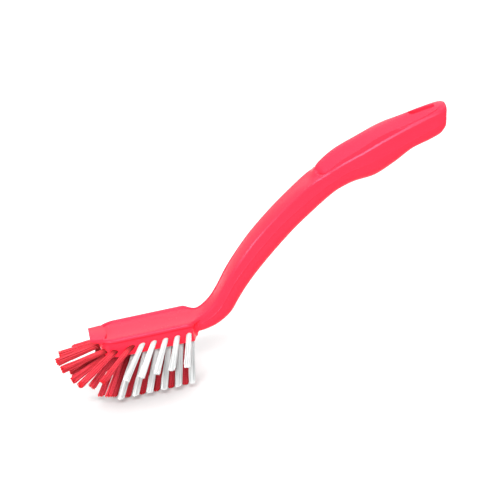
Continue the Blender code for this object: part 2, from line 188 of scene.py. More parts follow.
# Moulding. Handle, head block and rim are one injection moulding in opaque red polypropylene, with
# a soft gloss. Its rim bead runs back along the neck as a raised lip, and the grip carries a raised
# leaf-shaped thumb pad set off by a fine groove. It is skinned here over half sections, mirrored.
SCRAPING_EDGE_AT = Vector((-101.15 * MM, 0.0, 32.8 * MM))
NOSE_CENTRE_X = 15.3
# Along the handle: the top line's x and z from the scraping edge and the underside, half the width,
# then down the section the fall of the crown to the ridge, the side, and the belly under it, in mm.
HANDLE_LINE = (
    (54.0, 11.0, 6.4, 0.3, 3.2, 5.4),
    (60.0, 12.0, 6.8, 0.3, 3.4, 6.2),
    (65.0, 13.4, 7.2, 0.4, 3.8, 6.8),
    (69.8, 15.8, 7.5, 0.4, 4.0, 7.8),
    (74.8, 20.1, 7.6, 0.4, 4.2, 8.6),
    (79.8, 26.4, 7.8, 0.4, 4.0, 8.6),
    (85.5, 34.5, 8.2, 0.4, 4.0, 9.3),
    (93.5, 44.3, 8.5, 0.5, 4.8, 9.3),
    (104.7, 56.0, 8.8, 0.6, 5.4, 9.5),
    (118.7, 68.1, 9.1, 0.8, 5.4, 9.5),
    (133.5, 78.9, 9.4, 0.8, 6.2, 8.7),
    (142.5, 84.8, 9.7, 0.9, 6.6, 8.2),
    (147.5, 91.3, 9.9, 4.9, 6.0, 8.4),
    (157.5, 97.9, 10.6, 6.6, 6.0, 9.4),
    (171.0, 102.9, 11.4, 6.6, 7.2, 10.8),
    (185.0, 107.3, 11.4, 5.8, 8.2, 9.0),
    (198.0, 110.3, 10.6, 4.8, 8.2, 6.5),
    (210.0, 112.75, 9.4, 4.1, 8.0, 7.0),
    (219.0, 113.35, 8.6, 2.8, 7.4, 6.8),
    (223.6, 113.5, 7.6, 2.2, 6.6, 5.6),
    (225.6, 112.8, 6.2, 1.6, 5.2, 4.0),
)
HANDLE_STEPS, SLOPE_REACH = 24, 32
# The thumb pad's edge: its place along the handle, how far out it runs as a share of the ridge, and
# how far down the crown it lies.
PAD_EDGE = (
    (145.4, 0.30, 0.60),
    (146.2, 0.66, 0.80),
    (147.2, 0.86, 0.86),
    (149.0, 0.93, 0.84),
    (152.0, 0.92, 0.83),
    (155.6, 0.92, 0.77),
    (159.5, 0.91, 0.72),
    (163.5, 0.90, 0.69),
    (169.0, 0.885, 0.65),
    (175.7, 0.875, 0.59),
    (181.0, 0.87, 0.53),
    (188.3, 0.88, 0.54),
    (194.8, 0.89, 0.63),
    (200.1, 0.90, 0.74),
    (205.0, 0.89, 0.79),
    (209.1, 0.87, 0.79),
    (213.0, 0.84, 0.72),
    (217.1, 0.76, 0.58),
    (221.7, 0.60, 0.35),
    (225.6, 0.50, 0.25),
)
PAD_STEPS = 8
PAD_STARTS, PAD_ENDS = (144.8, 146.0), (218.5, 224.0)
# The pad falls to its edge like a roof with a soft top, which steepens towards the hanging slot.
PAD_ROOF, PAD_ROOF_GAIN, PAD_ROOF_STEEPENS = 2.8, 5.2, (190.0, 204.0)
PAD_POINTS, PAD_CROWDING = 8, 0.85
PAD_GROOVE, PAD_CLEARANCE = 0.55, 0.4
SHOULDER_SHARES = (0.08, 0.25, 0.5, 0.78)
PANEL_POINTS, SIDE_POINTS, BELLY_POINTS = 13, 9, 18
# The ridge is a bevel between panel and side, narrower along the shaft, with a lip on the neck.
RIDGE_SHARE = 0.9
LIP_HEIGHT, LIP_FADES, LIP_FOOT, LIP_RISE_SHARE = 0.34, (76.0, 112.0), 1.15, 0.6
LIP_DIP, LIP_DIP_POINTS = 0.5, (9, 12)
BEVEL_THINNING, BEVEL_THINS, BEVEL_WIDENS = 0.55, (88.0, 104.0), (136.0, 150.0)
BEVEL_IN, BEVEL_OUT, BEVEL_TOP, BEVEL_FALL = 0.62, 0.14, 0.1, 0.95
BEVEL_SHARES = (0.15, 0.85, 1.0)
UNDER_BEVEL_SHARE, UNDER_BEVEL_FALL = 0.86, 0.4
SEAM_WIDTH = 0.17
BELLY_CROWDING, BELLY_ROUNDNESS = 1.4, 2 / 3


def smooth_share(value, low, high):
    """How far a value has come from low to high, eased at both ends."""
    share = np.clip((value - low) / (high - low), 0.0, 1.0)
    return (1.0 - np.cos(np.pi * share)) / 2.0


def smooth_line(table, steps):
    """The stations of a table joined by a smooth curve, with so many steps from one to the next."""
    rows = np.array(table)
    ends = np.vstack((rows[:1], rows, rows[-1:]))
    share = np.linspace(0.0, 1.0, steps, endpoint=False)[:, None]
    pieces = []
    for before, start, end, after in zip(ends, ends[1:], ends[2:], ends[3:]):
        slope = (end - before) * share
        bend = (2 * before - 5 * start + 4 * end - after) * share**2
        twist = (3 * start - before - 3 * end + after) * share**3
        pieces.append(start + (slope + bend + twist) / 2)
    return np.vstack(pieces + [rows[-1:]])


handle_line = smooth_line(HANDLE_LINE, HANDLE_STEPS)
station = np.arange(len(handle_line))
behind = handle_line[np.maximum(station - SLOPE_REACH, 0)]
ahead = handle_line[np.minimum(station + SLOPE_REACH, len(handle_line) - 1)]
handle_slope = np.arctan2(ahead[:, 1] - behind[:, 1], ahead[:, 0] - behind[:, 0])
pad_edge = smooth_line(PAD_EDGE, PAD_STEPS)


def handle_at(x):
    """Height of the top line, half width, crown, side, belly and slope at a place along it."""
    values = [np.interp(x, handle_line[:, 0], handle_line[:, i]) for i in range(1, 6)]
    return *values, np.interp(x, handle_line[:, 0], handle_slope)


def pad_edge_at(x):
    """How far out the pad's edge runs, as a share of the ridge, and how far down the crown."""
    return [np.interp(x, pad_edge[:, 0], pad_edge[:, i]) for i in (1, 2)]


def pad_fall(x, share):
    """How far the pad has fallen at a share of the way to its edge."""
    roof = PAD_ROOF + PAD_ROOF_GAIN * smooth_share(x, *PAD_ROOF_STEEPENS)
    return (math.hypot(1.0, roof * share) - 1.0) / (math.hypot(1.0, roof) - 1.0)


def neck_section(x):
    """Half a section, top middle to bottom middle: how far out and how far up each point lies."""
    _, half_width, crown, side, belly, _ = handle_at(x)
    ridge = RIDGE_SHARE * half_width
    lip = LIP_HEIGHT * (1.0 - smooth_share(x, *LIP_FADES))
    lip_foot = ridge - LIP_FOOT
    pad = smooth_share(x, *PAD_STARTS) * (1.0 - smooth_share(x, *PAD_ENDS))
    edge_share, edge_fall = pad_edge_at(x)
    edge_fall *= crown
    thinned = smooth_share(x, *BEVEL_THINS) * (1.0 - smooth_share(x, *BEVEL_WIDENS))
    bevel = 1.0 - BEVEL_THINNING * thinned
    start = np.array((ridge - BEVEL_IN * bevel, -crown + BEVEL_TOP + lip))
    end = np.array((ridge + BEVEL_OUT, -crown - BEVEL_FALL * bevel))
    edge = min(edge_share * ridge, start[0] - PAD_CLEARANCE)
    points = []
    for i in range(PANEL_POINTS):
        across = i / (PANEL_POINTS - 1) * lip_foot
        dip = LIP_DIP * lip * smooth_share(i, *LIP_DIP_POINTS)
        plain = np.array((across, -crown * (across / ridge) ** 2 - dip))
        if i <= PAD_POINTS:
            share = (i / PAD_POINTS) ** PAD_CROWDING
            padded = np.array((edge * share, -edge_fall * pad_fall(x, share)))
        else:
            share = SHOULDER_SHARES[i - PAD_POINTS - 1]
            out = edge + (start[0] - edge) * share
            fall = edge_fall + (-start[1] - edge_fall) * share
            padded = np.array((out, -fall - PAD_GROOVE * (1.0 - share) ** 3))
        points.append(plain + (padded - plain) * pad)
    foot = points[-1]
    under_out = half_width - UNDER_BEVEL_SHARE * (half_width - ridge - BEVEL_OUT)
    under_up = -crown - BEVEL_FALL * bevel - UNDER_BEVEL_FALL
    points += [foot + (start - foot) * LIP_RISE_SHARE, start]
    points += [start + (end - start) * share for share in BEVEL_SHARES]
    points.append((under_out, under_up))
    for i in range(1, SIDE_POINTS + 1):
        share = i / SIDE_POINTS
        seam = SEAM_WIDTH if i == SIDE_POINTS else 0.0
        out = under_out + (half_width - under_out) * share + seam
        points.append((out, under_up + (-crown - side - under_up) * share))
    for i in range(1, BELLY_POINTS + 1):
        angle = math.pi / 2 * (i / BELLY_POINTS) ** BELLY_CROWDING
        out = half_width * max(math.cos(angle), 0.0) ** BELLY_ROUNDNESS
        points.append((out, -crown - side - belly * math.sin(angle) ** BELLY_ROUNDNESS))
    points[-1] = (0.0, -crown - side - belly)
    return points


# The head block's half section, from the middle of its dished top over the rim bead and the crease
# under it, down the leaning wall and in along the flat underside.
DISH_HALF_WIDTH, DISH_Z, DISH_RISE, DISH_CURVE = 10.2, 11.7, 0.7, 2.6
RIM_BEAD = (
    (10.42, 12.75), (10.7, 13.2), (11.2, 13.4), (11.95, 13.36), (12.3, 13.14), (12.86, 12.4),
)
RIM_CREASE = ((13.0, 11.9), (12.85, 11.45), (12.0, 11.2), (11.15, 10.6), (11.4, 9.9))
HEAD_WALL_FOOT, HEAD_WALL_LEAN = 10.0, 2.3 / 10.6
HEAD_WALL_HEIGHTS = (9.4, 8.3, 7.2, 6.1, *np.linspace(5.4, 0.9, 11))
HEAD_UNDERSIDE = (
    (10.08, 0.5), (9.9, 0.16), (9.5, 0.0), (7.4, 0.0), (5.0, 0.0), (2.5, 0.0), (0.0, 0.0),
)


def wall_y(z):
    """How far out the head's wall stands at a height."""
    return HEAD_WALL_FOOT + HEAD_WALL_LEAN * z


head_section = []
for i in range(PANEL_POINTS):
    dish_z = DISH_Z + DISH_RISE * (i / (PANEL_POINTS - 1)) ** DISH_CURVE
    head_section.append((DISH_HALF_WIDTH * i / (PANEL_POINTS - 1), dish_z))
head_section += [*RIM_BEAD, *RIM_CREASE]
head_section += [(wall_y(z), z) for z in HEAD_WALL_HEIGHTS]
head_section += HEAD_UNDERSIDE
section_points = len(head_section)

# Where each point of the section starts and ends its way into the neck, inwards and upwards: the
# point's number down the section, with its places along the head.
NARROWS_FROM = ((0, 18, 21, 27, 45), (56.5, 56.5, 58.8, 59.0, 59.2))
NARROWS_TO = ((0, 18, 21, 27, 38, 45), (66.5, 66.5, 62.6, 61.0, 61.4, 62.2))
RISES_FROM = ((0, 18, 21, 27, 38, 41, 45), (56.5, 56.5, 58.8, 60.0, 61.0, 61.9, 61.9))
RISES_TO = ((0, 18, 21, 27, 38, 41, 45), (66.5, 66.5, 65.0, 64.5, 63.6, 63.2, 63.2))
NECK_TURNS, SETTLING_ROUNDS = (64.0, 77.0), 3
narrow_from, narrow_to, rise_from, rise_to = (
    np.interp(np.arange(section_points), *table)
    for table in (NARROWS_FROM, NARROWS_TO, RISES_FROM, RISES_TO)
)


def upright_neck_section(x, tilt):
    """The neck's half section at a place along the head: upright at 0 tilt, square to it at 1."""
    starts = np.full(section_points, x)
    for _ in range(SETTLING_ROUNDS):
        shifts = []
        for i, start in enumerate(starts):
            slope = handle_at(start)[-1]
            shifts.append(-math.sin(slope) * neck_section(start)[i][1])
        starts = x - (1.0 - tilt) * np.array(shifts)
    points = []
    for i, start in enumerate(starts):
        height, *_, slope = handle_at(start)
        out, up = neck_section(start)[i]
        points.append((start - math.sin(slope) * up, out, height + math.cos(slope) * up))
    return points


def plain_neck_ring(x):
    """A half ring of the handle, square to its line."""
    height, *_, slope = handle_at(x)
    sine, cosine = math.sin(slope), math.cos(slope)
    return [(x - sine * up, out, height + cosine * up) for out, up in neck_section(x)]


def joint_ring(x):
    """A half ring where the head block narrows and rises into the neck."""
    neck = upright_neck_section(x, smooth_share(x, *NECK_TURNS))
    ring = []
    for i, ((head_y, head_z), (neck_x, neck_y, neck_z)) in enumerate(zip(head_section, neck)):
        narrow = smooth_share(x, narrow_from[i], narrow_to[i])
        rise = smooth_share(x, rise_from[i], rise_to[i])
        ring.append((
            x + (neck_x - x) * rise,
            head_y + (neck_y - head_y) * narrow,
            head_z + (neck_z - head_z) * rise,
        ))
    return ring


# The places of the rings along the brush, closer together where the form turns quickly, and how the
# grip's end is rounded off: each last ring's size, and how far on it stands.
NOSE_RINGS = 19
BLOCK_RINGS = np.arange(18.0, 56.0, 2.0)
JOINT_RINGS = (
    np.arange(56.5, 60.0, 0.35), np.arange(60.0, 67.0, 0.22), np.arange(67.0, 77.0, 0.4),
)
HANDLE_RINGS = (
    np.arange(77.0, 141.0, 1.4), np.arange(141.0, 150.0, 0.3), np.arange(150.0, 218.0, 1.1),
    np.arange(218.0, 225.5, 0.35), [225.45],
)
GRIP_END = ((0.96, 0.1), (0.86, 0.14), (0.5, 0.15), (0.0, 0.15))
WELD, MIRROR_WELD = 0.004 * MM, 0.01 * MM
half_rings = []
for angle in np.linspace(0.0, math.pi / 2, NOSE_RINGS):
    sine, cosine = math.sin(angle), math.cos(angle)
    half_rings.append([(NOSE_CENTRE_X - y * cosine, y * sine, z) for y, z in head_section])
half_rings += [[(x, y, z) for y, z in head_section] for x in BLOCK_RINGS]
half_rings += [joint_ring(x) for x in np.concatenate(JOINT_RINGS)]
half_rings += [plain_neck_ring(x) for x in np.concatenate(HANDLE_RINGS)]
end_ring = np.array(half_rings[-1])
end_middle = (end_ring[0] + end_ring[-1]) / 2
for share, reach in GRIP_END:
    half_rings.append(list(end_middle + (end_ring - end_middle) * share + (reach, 0.0, 0.0)))

deselect()
bpy.ops.mesh.primitive_grid_add(
    x_subdivisions=len(half_rings) - 1, y_subdivisions=section_points - 1, size=1.0
)
moulding = bpy.context.object
moulding.name = "handle_and_head_moulding"
skin = np.array(half_rings)
grid = np.empty(len(moulding.data.vertices) * 3)
moulding.data.vertices.foreach_get("co", grid)
grid = grid.reshape(-1, 3)
ring_index = np.rint((grid[:, 0] + 0.5) * (len(half_rings) - 1)).astype(int)
point_index = np.rint((grid[:, 1] + 0.5) * (section_points - 1)).astype(int)
shaped = skin[ring_index, point_index] * MM + np.array(SCRAPING_EDGE_AT)
moulding.data.vertices.foreach_set("co", shaped.ravel())
moulding.data.update()


def mesh_edit(*steps):
    """Runs edit-mode steps on the active mesh with all of it selected."""
    bpy.ops.object.mode_set(mode="EDIT")
    bpy.ops.mesh.select_all(action="SELECT")
    for step, settings in steps:
        step(**settings)
    bpy.ops.object.mode_set(mode="OBJECT")


def pick(piece):
    """Selects one piece alone and makes it the active one."""
    deselect()
    bpy.context.view_layer.objects.active = piece
    piece.select_set(True)


def modify(piece, kind, **settings):
    """Adds a modifier to a piece and applies it."""
    pick(piece)
    made = piece.modifiers.new(kind.lower(), kind)
    for name, value in settings.items():
        setattr(made, name, value)
    bpy.ops.object.modifier_apply(modifier=made.name)


MIRROR_ACROSS_MIDDLE = {"use_axis": (False, True, False), "use_mirror_merge": True}
face_outwards = (bpy.ops.mesh.normals_make_consistent, {"inside": False})
mesh_edit((bpy.ops.mesh.remove_doubles, {"threshold": WELD}))
modify(moulding, "MIRROR", merge_threshold=MIRROR_WELD, **MIRROR_ACROSS_MIDDLE)
mesh_edit((bpy.ops.mesh.remove_doubles, {"threshold": WELD}), face_outwards)

# Scraping edge: a stiff flat tab of the same moulding that stands out of the nose, thin along its
# front for lifting burnt food, with a D-shaped back where it meets the dish in the head's top.
SCRAPER_STEPS = 20
SCRAPER_FRONT_X, SCRAPER_FRONT_HALF = -0.5, 7.8
SCRAPER_ROOT_X, SCRAPER_ROOT_HALF, SCRAPER_BULGE = 6.4, 9.2, 3.2
SCRAPER_TOP_Z, SCRAPER_FRONT_RISE, SCRAPER_THICKNESS = 13.4, 0.4, 3.0
SCRAPER_THINNING, SCRAPER_THINS_BELOW_Z, SCRAPER_THINS_BEFORE_X = 1.6, 12.0, 1.0
SCRAPER_BEVEL = 0.22
SHARP_EDGE = {"limit_method": "ANGLE", "angle_limit": math.radians(40)}
scraper_outline = [(SCRAPER_FRONT_X, y) for y in (SCRAPER_FRONT_HALF, 0.0, -SCRAPER_FRONT_HALF)]
for i in range(SCRAPER_STEPS + 1):
    angle = math.pi * i / SCRAPER_STEPS
    x = SCRAPER_ROOT_X + SCRAPER_BULGE * math.sin(angle)
    scraper_outline.append((x, -SCRAPER_ROOT_HALF * math.cos(angle)))
deselect()
bpy.ops.mesh.primitive_circle_add(vertices=len(scraper_outline), radius=0.01, fill_type="NGON")
scraper = bpy.context.object
for vert, (x, y) in zip(scraper.data.vertices, scraper_outline):
    rise = SCRAPER_FRONT_RISE * (1.0 - min(x / SCRAPER_ROOT_X, 1.0))
    vert.co = SCRAPING_EDGE_AT + Vector((x, y, SCRAPER_TOP_Z + rise)) * MM
thickness = {"value": (0, 0, -SCRAPER_THICKNESS * MM)}
mesh_edit((bpy.ops.mesh.extrude_region_move, {"TRANSFORM_OT_translate": thickness}))
for vert in scraper.data.vertices:
    local = (vert.co - SCRAPING_EDGE_AT) / MM
    if local.z < SCRAPER_THINS_BELOW_Z and local.x < SCRAPER_THINS_BEFORE_X:
        vert.co.z += SCRAPER_THINNING * MM
mesh_edit(face_outwards)
modify(scraper, "BEVEL", width=SCRAPER_BEVEL * MM, segments=2, **SHARP_EDGE)


def work_moulding(tool, operation, **settings):
    """Adds a tool's form to the moulding, or cuts it away, and clears the tool."""
    modify(moulding, "BOOLEAN", object=tool, operation=operation, solver="EXACT", **settings)
    bpy.data.objects.remove(tool, do_unlink=True)


work_moulding(scraper, "UNION")

# Hanging slot: cored straight through the grip near its end, for a hook or peg, with a rounded rim
# that follows the pad so that it neither cuts the hand nor holds water.
SLOT_LENGTH, SLOT_WIDTH, SLOT_MIDDLE_X = 15.0, 5.0, 211.5
SLOT_STEPS = 14
# From well above the pad down into the slot: how far outside its wall, and how far above the pad.
SLOT_RIM = ((1.3, 2.5), (1.0, 0.04), (0.62, -0.08), (0.3, -0.28), (0.08, -0.6), (0.0, -1.1))
TINY = 1e-6
slot_straight = (SLOT_LENGTH - SLOT_WIDTH) / 2
slot_outline = []
for end in (1, -1):
    for i in range(SLOT_STEPS + 1):
        angle = math.pi * (i / SLOT_STEPS - 0.5)
        x = end * (slot_straight + SLOT_WIDTH / 2 * math.cos(angle))
        slot_outline.append((x, end * SLOT_WIDTH / 2 * math.sin(angle)))


def grip_faces(x, y):
    """The heights of the grip's top and bottom over a place on it."""
    height, half_width, crown, side, belly, slope = handle_at(x)
    edge_share, edge_fall = pad_edge_at(x)
    edge = edge_share * RIDGE_SHARE * half_width
    top = height - edge_fall * crown * pad_fall(x, abs(y) / edge)
    return top, height - (crown + side + belly) * math.cos(slope)


slot_rings = []
for mouth, levels in (("top", SLOT_RIM), ("bottom", SLOT_RIM[::-1])):
    for spread, depth in levels:
        ring = []
        for x, y in slot_outline:
            outward = Vector((x - math.copysign(min(abs(x), slot_straight), x), y))
            outward = outward.normalized() * spread if outward.length > TINY else outward
            top, bottom = grip_faces(SLOT_MIDDLE_X + x, y)
            z = top + depth if mouth == "top" else bottom - depth
            ring.append((SLOT_MIDDLE_X + x + outward.x, y + outward.y, z))
        slot_rings.append(ring)


def skin_rings(name, rings):
    """A closed form over rings of as many points each, shaped from a cylinder's rings."""
    deselect()
    bpy.ops.mesh.primitive_circle_add(vertices=len(rings[0]), radius=1.0, fill_type="NGON")
    made = bpy.context.object
    made.name = name
    for _ in rings[1:]:
        bpy.ops.object.mode_set(mode="EDIT")
        bpy.ops.mesh.extrude_region_move()
        bpy.ops.object.mode_set(mode="OBJECT")
    count = len(rings[0])
    for i, vert in enumerate(made.data.vertices):
        vert.co = SCRAPING_EDGE_AT + Vector(rings[i // count][i % count]) * MM
    mesh_edit(face_outwards)
    return made


work_moulding(skin_rings("slot_core", slot_rings), "DIFFERENCE")

# Tuft holes: drilled into the moulding along each tuft, a close fit round the filaments. An outer
# row runs along each side wall, two inner rows and a centre row along the underside, and a fan of
# holes and two pairs round the nose.
UNDERSIDE_TAIL_X = 62.4
SIDES = (("right", 1), ("left", -1))
# Of each row: how many tufts, and how far its first and last stand from the tail and the nose.
OUTER_ROW, INNER_ROW, CENTRE_ROW = (6, 6.0, 5.6), (7, 4.0, 2.3), (7, 6.8, 0.1)
# A tuft's drop from its hole to its tips, how much less it is in a row's red front tuft, and its
# lean to the nose for each mm of drop, in the rearmost tuft and more from each tuft to the next.
OUTER_WHITES, OUTER_ROOT_Z, OUTER_SPLAY, OUTER_DROP, OUTER_RED_SHORTER = 5, 4.7, 35.5, 14.8, 1.3
OUTER_LEAN, OUTER_LEAN_GAIN, OUTER_RED_LEAN = 0.34, 0.135, 0.45
INNER_WHITES, INNER_ROOT_Y, INNER_SPLAY, INNER_DROP, INNER_RED_SHORTER = 6, 4.8, 10.0, 27.5, 3.0
INNER_LEAN, INNER_LEAN_GAIN = 0.175, 0.068
CENTRE_DROP, CENTRE_FRONT_SHORTER, CENTRE_FULL_TUFTS = 32.8, 2.2, 5
CENTRE_LEAN, CENTRE_LEAN_GAIN = 0.18, 0.0665
# Round the nose: the hole's turn from straight ahead and its height, then how far before, beside
# and below the scraping edge's foot the tips reach.
NOSE_FAN = ((0.0, 5.4, 22.9, 0.0, 0.2), (36.0, 4.2, 20.7, 9.5, 0.8), (70.0, 4.2, 12.2, 23.8, 5.7))
# Under the nose: how far before its centre and beside the middle the hole is, then the tips again.
FRONT_PAIRS = ((6.3, 2.4, 16.2, 5.0, 11.8), (3.7, 6.5, 5.7, 11.0, 15.6))
HOLE_DEPTHS = {"row": 6.0, "outer": 4.8, "nose": 3.2}
HOLE_RADIUS, HOLE_STEPS, DRILL_CLEARANCE = 1.9, 20, 4.5
HOLE_WELD = 0.002 * MM


def row_places(count, rear_inset, front_inset):
    """The places of a row's tufts along the head, from the tail to the nose."""
    return np.linspace(UNDERSIDE_TAIL_X - rear_inset, NOSE_CENTRE_X + front_inset, count)


outer_spread = math.tan(math.radians(OUTER_SPLAY))
inner_spread = math.tan(math.radians(INNER_SPLAY))
tufts = []
for side, sign in SIDES:
    for i, x in enumerate(row_places(*OUTER_ROW)):
        red = i >= OUTER_WHITES
        drop = OUTER_DROP - OUTER_RED_SHORTER * red
        lean = OUTER_LEAN + OUTER_LEAN_GAIN * i + OUTER_RED_LEAN * red
        root = Vector((x, sign * wall_y(OUTER_ROOT_Z), OUTER_ROOT_Z))
        tip = root + Vector((-lean, sign * outer_spread, -1)) * drop
        tufts.append((f"outer_{side}_{i + 1}", "red" if red else "white", root, tip, "outer"))
    for i, x in enumerate(row_places(*INNER_ROW)):
        red = i >= INNER_WHITES
        drop = INNER_DROP - INNER_RED_SHORTER * red
        root = Vector((x, sign * INNER_ROOT_Y, 0.0))
        tip = root + Vector((-INNER_LEAN - INNER_LEAN_GAIN * i, sign * inner_spread, -1)) * drop
        tufts.append((f"inner_{side}_{i + 1}", "red" if red else "white", root, tip, "row"))
for i, x in enumerate(row_places(*CENTRE_ROW)):
    drop = CENTRE_DROP - CENTRE_FRONT_SHORTER * max(i + 1 - CENTRE_FULL_TUFTS, 0)
    root = Vector((x, 0.0, 0.0))
    tip = root + Vector((-CENTRE_LEAN - CENTRE_LEAN_GAIN * i, 0.0, -1)) * drop
    tufts.append((f"centre_{i + 1}", "red", root, tip, "row"))
for number, (turn, z, reach, aside, drop) in enumerate(NOSE_FAN, start=1):
    out, angle = wall_y(z), math.radians(turn)
    for side, sign in (("middle", 1),) if turn == 0 else SIDES:
        x = NOSE_CENTRE_X - out * math.cos(angle)
        root = Vector((x, sign * out * math.sin(angle), z))
        tip = Vector((-reach, sign * aside, -drop))
        tufts.append((f"nose_{side}_{number}", "red", root, tip, "nose"))
for number, (before, y, reach, aside, drop) in enumerate(FRONT_PAIRS, start=1):
    for side, sign in SIDES:
        root = Vector((NOSE_CENTRE_X - before, sign * y, 0.0))
        tip = Vector((-reach, sign * aside, -drop))
        tufts.append((f"front_{side}_{number}", "red", root, tip, "nose"))


def along(root, tip):
    """The turn that points +Z from a tuft's root to its tip."""
    return (tip - root).to_track_quat("Z", "Y").to_matrix()


def join(pieces):
    """Joins pieces into the first of them."""
    deselect()
    for piece in pieces:
        piece.select_set(True)
    bpy.context.view_layer.objects.active = pieces[0]
    bpy.ops.object.join()
    return pieces[0]


hole_circle = []
for i in range(HOLE_STEPS):
    angle = 2 * math.pi * i / HOLE_STEPS
    hole_circle.append((math.cos(angle) * HOLE_RADIUS, math.sin(angle) * HOLE_RADIUS))
drills = []
for name, colour, root, tip, kind in tufts:
    turn = along(root, tip)
    rings = []
    for height in (-HOLE_DEPTHS[kind], DRILL_CLEARANCE):
        rings.append([root + turn @ Vector((x, y, height)) for x, y in hole_circle])
    drills.append(skin_rings("drill", rings))
work_moulding(join(drills), "DIFFERENCE", use_self=True)
mesh_edit((bpy.ops.mesh.remove_doubles, {"threshold": HOLE_WELD}))
pick(moulding)
bpy.ops.object.shade_smooth_by_angle(angle=math.radians(32))

# The moulding's finish: colour that drifts along the flow of the melt, a fine grain that shows in
# the gloss, and light scuffs.
RED_DEEP, RED_PALE = (0.86, 0.017, 0.037, 1.0), (0.9, 0.02, 0.042, 1.0)
PLASTIC_IOR, PLASTIC_GLINT = 1.2, (1.0, 0.6, 0.95, 1.0)
FLOW_STRETCH, FLOW_SCALE = (0.35, 1.0, 1.0), 60.0
GRAIN_SCALE, GRAIN_DETAIL, GRAIN_ROUGHNESS = 2600.0, 3.0, 0.6
SCUFF_SCALE, SCUFF_DETAIL, SCUFF_ROUGHNESS, SCUFF_RANGE = 240.0, 4.0, 0.65, (0.5, 0.72)
PLASTIC_ROUGHNESS, GRAIN_DULLS, SCUFFS_DULL = 0.19, 0.06, 0.06
GRAIN_BUMP, GRAIN_HEIGHT = 0.12, 0.00004
plastic = Finish("red_polypropylene")
where = plastic.node("ShaderNodeTexCoord", output="Object")
flow = plastic.noise(plastic.stretch(where, FLOW_STRETCH), FLOW_SCALE)
grain = plastic.noise(where, GRAIN_SCALE, GRAIN_DETAIL, GRAIN_ROUGHNESS)
marks = plastic.noise(where, SCUFF_SCALE, SCUFF_DETAIL, SCUFF_ROUGHNESS)
scuffs = plastic.smooth(marks, *SCUFF_RANGE)
moulding.data.materials.clear()
moulding.data.materials.append(plastic.dress(
    Base_Color=plastic.mix(flow, RED_DEEP, RED_PALE),
    Roughness=PLASTIC_ROUGHNESS + GRAIN_DULLS * grain + SCUFFS_DULL * scuffs,
    IOR=PLASTIC_IOR,
    Specular_Tint=PLASTIC_GLINT,
    Normal=plastic.bump(GRAIN_BUMP, GRAIN_HEIGHT, grain),
))
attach(moulding, "root")
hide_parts("handle_and_head")

# Bristle tufts. Each is a bundle of polyester filaments folded over a wire anchor and punched into
# its hole: red ones, a little crimped, down the middle and round the nose, white ones in the rows.
# The bundle is modelled once, and each tuft is a copy bent from its hole to its own cut end.
FILAMENTS, FILAMENT_SIDES, FILAMENT_RADIUS = 72, 5, 0.2
FILAMENT_STOPS = np.array((0.0, 0.07, 0.2, 0.36, 0.52, 0.68, 0.84, 1.0))
GOLDEN_TURN, WHOLE_TURN = math.pi * (3 - math.sqrt(5)), 6.28
TUFT_ROOT_RADIUS, TUFT_TIP_RADIUS, TUFT_FLARE = 1.45, 1.9, 1.15
FAN_TIP_RADIUS, FAN_HALF_WIDTH = 2.35, 15.0
SPREAD_JITTER, STRAY = 0.02, 0.12
FOLD_CLEARANCE = 0.5
# The cut: the tilt of one that isn't level, how far back it lies, and how ragged it is.
CUT_TILT, CUT_BACK, RAGGED_SHAPE = 0.22, 0.12, 1.1
RAGGED_LEVEL, RAGGED_TILTED = 0.3, 0.6
CRIMP_SIZES, CRIMP_TURNS, CRIMP_GROWS = {"red": 0.1, "white": 0.035}, (1.1, 0.9), 3
FILAMENT_TONE, TUFT_TONE = 0.7, 0.3


def copy_piece(pattern, name):
    """Another of a piece that is modelled once, with a mesh of its own."""
    piece = pattern.copy()
    piece.data = pattern.data.copy()
    piece.name = name
    bpy.context.collection.objects.link(piece)
    return piece


deselect()
bpy.ops.mesh.primitive_circle_add(vertices=FILAMENT_SIDES, radius=1.0, fill_type="NGON")
filament = bpy.context.object
for _ in FILAMENT_STOPS[1:]:
    bpy.ops.object.mode_set(mode="EDIT")
    bpy.ops.mesh.extrude_region_move(TRANSFORM_OT_translate={"value": (0, 0, 1.0)})
    bpy.ops.object.mode_set(mode="OBJECT")
mesh_edit(face_outwards)
for name in ("run", "tone", "to_end"):
    filament.data.attributes.new(name, "FLOAT", "POINT")
bundle = join([filament] + [copy_piece(filament, "filament") for _ in range(FILAMENTS - 1)])
bundle.name = "bristle_bundle"
bpy.ops.object.shade_smooth_by_angle(angle=math.radians(80))


